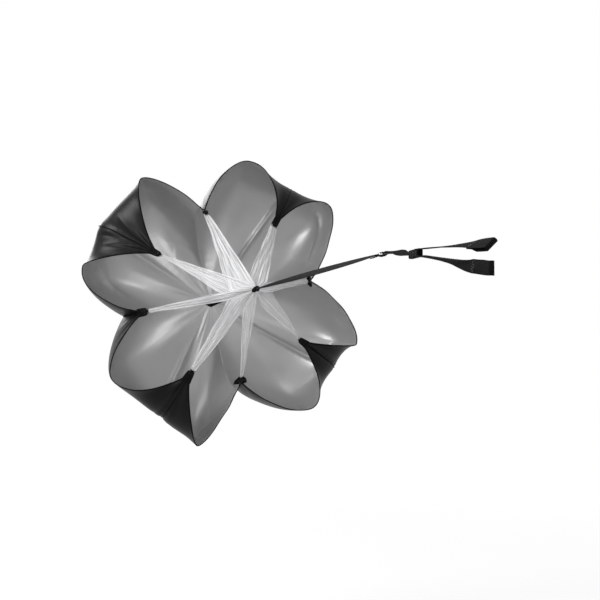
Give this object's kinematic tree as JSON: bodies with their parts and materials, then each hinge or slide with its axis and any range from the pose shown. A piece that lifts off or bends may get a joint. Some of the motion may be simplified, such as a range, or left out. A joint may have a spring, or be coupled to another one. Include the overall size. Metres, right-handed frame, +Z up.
{
  "type": "speed parachute",
  "caption": "Resistance parachute for running, inflated: lobed cloth canopy, netting lines drawn to one gather, tow strap, ring and two belt legs.",
  "frame": {"origin": "the gather point, where the eight netting lines meet in front of the canopy's mouth", "axes": "+X along the pull, from the gather point to the belt legs, so the canopy's mouth faces +X; +Z up; +Y to the left of someone who looks along +X"},
  "size_m": [2.6956, 1.0593, 1.0902],
  "materials": {
    "satin_inside": "satin, black on the outer side",
    "black_binding": "matt",
    "black_webbing": "woven",
    "white_netting": "see-through net",
    "ring_steel": "plain"
  },
  "bodies": {
    "canopy": {"gore_1": "satin_inside", "gore_2": "satin_inside", "gore_3": "satin_inside", "gore_4": "satin_inside", "gore_5": "satin_inside", "gore_6": "satin_inside", "gore_7": "satin_inside", "gore_8": "satin_inside", "rim_binding_1": "black_binding", "rim_binding_2": "black_binding", "rim_binding_3": "black_binding", "rim_binding_4": "black_binding", "rim_binding_5": "black_binding", "rim_binding_6": "black_binding", "rim_binding_7": "black_binding", "rim_binding_8": "black_binding", "seam_binding_1": "black_binding", "seam_binding_2": "black_binding", "seam_binding_3": "black_binding", "seam_binding_4": "black_binding", "seam_binding_5": "black_binding", "seam_binding_6": "black_binding", "seam_binding_7": "black_binding", "seam_binding_8": "black_binding", "notch_tab_1": "black_webbing", "notch_tab_2": "black_webbing", "notch_tab_3": "black_webbing", "notch_tab_4": "black_webbing", "notch_tab_5": "black_webbing", "notch_tab_6": "black_webbing", "notch_tab_7": "black_webbing", "notch_tab_8": "black_webbing", "mesh_line_1": "white_netting", "mesh_line_2": "white_netting", "mesh_line_3": "white_netting", "mesh_line_4": "white_netting", "mesh_line_5": "white_netting", "mesh_line_6": "white_netting", "mesh_line_7": "white_netting", "mesh_line_8": "white_netting", "crown_patch": "black_binding"},
    "gather_eye": {"gather_tab": "black_webbing"},
    "strap": {"tow_strap": "black_webbing"},
    "ring": {"strap_ring": "ring_steel"},
    "yoke": {"yoke_webbing": "black_webbing", "yoke_block": "black_webbing"},
    "upper_belt_leg": {"upper_leg": "black_webbing"},
    "lower_belt_leg": {"lower_leg": "black_webbing"}
  },
  "joints": [
    {"name": "gather_tilt", "type": "hinge", "parent": "canopy", "child": "gather_eye", "pos_m": [0, 0, 0], "axis": [0, 1, 0], "range_deg": [-60, 60]},
    {"name": "strap_swing", "type": "hinge", "parent": "gather_eye", "child": "strap", "pos_m": [0.0164, 0, 0], "axis": [0, 0, 1], "range_deg": [-70, 70]},
    {"name": "ring_tilt", "type": "hinge", "parent": "strap", "child": "ring", "pos_m": [1.2763, 0, 0], "axis": [0, 1, 0], "range_deg": [-60, 60]},
    {"name": "yoke_swing", "type": "hinge", "parent": "ring", "child": "yoke", "pos_m": [1.2833, 0, 0], "axis": [0, 0, 1], "range_deg": [-55, 55]},
    {"name": "upper_leg_spread", "type": "hinge", "parent": "yoke", "child": "upper_belt_leg", "pos_m": [1.5076, 0, -0.0097], "axis": [0, 1, 0], "range_deg": [-45, 1]},
    {"name": "lower_leg_spread", "type": "hinge", "parent": "yoke", "child": "lower_belt_leg", "pos_m": [1.5076, 0, -0.0227], "axis": [0, 1, 0], "range_deg": [-1, 45]}
  ]
}
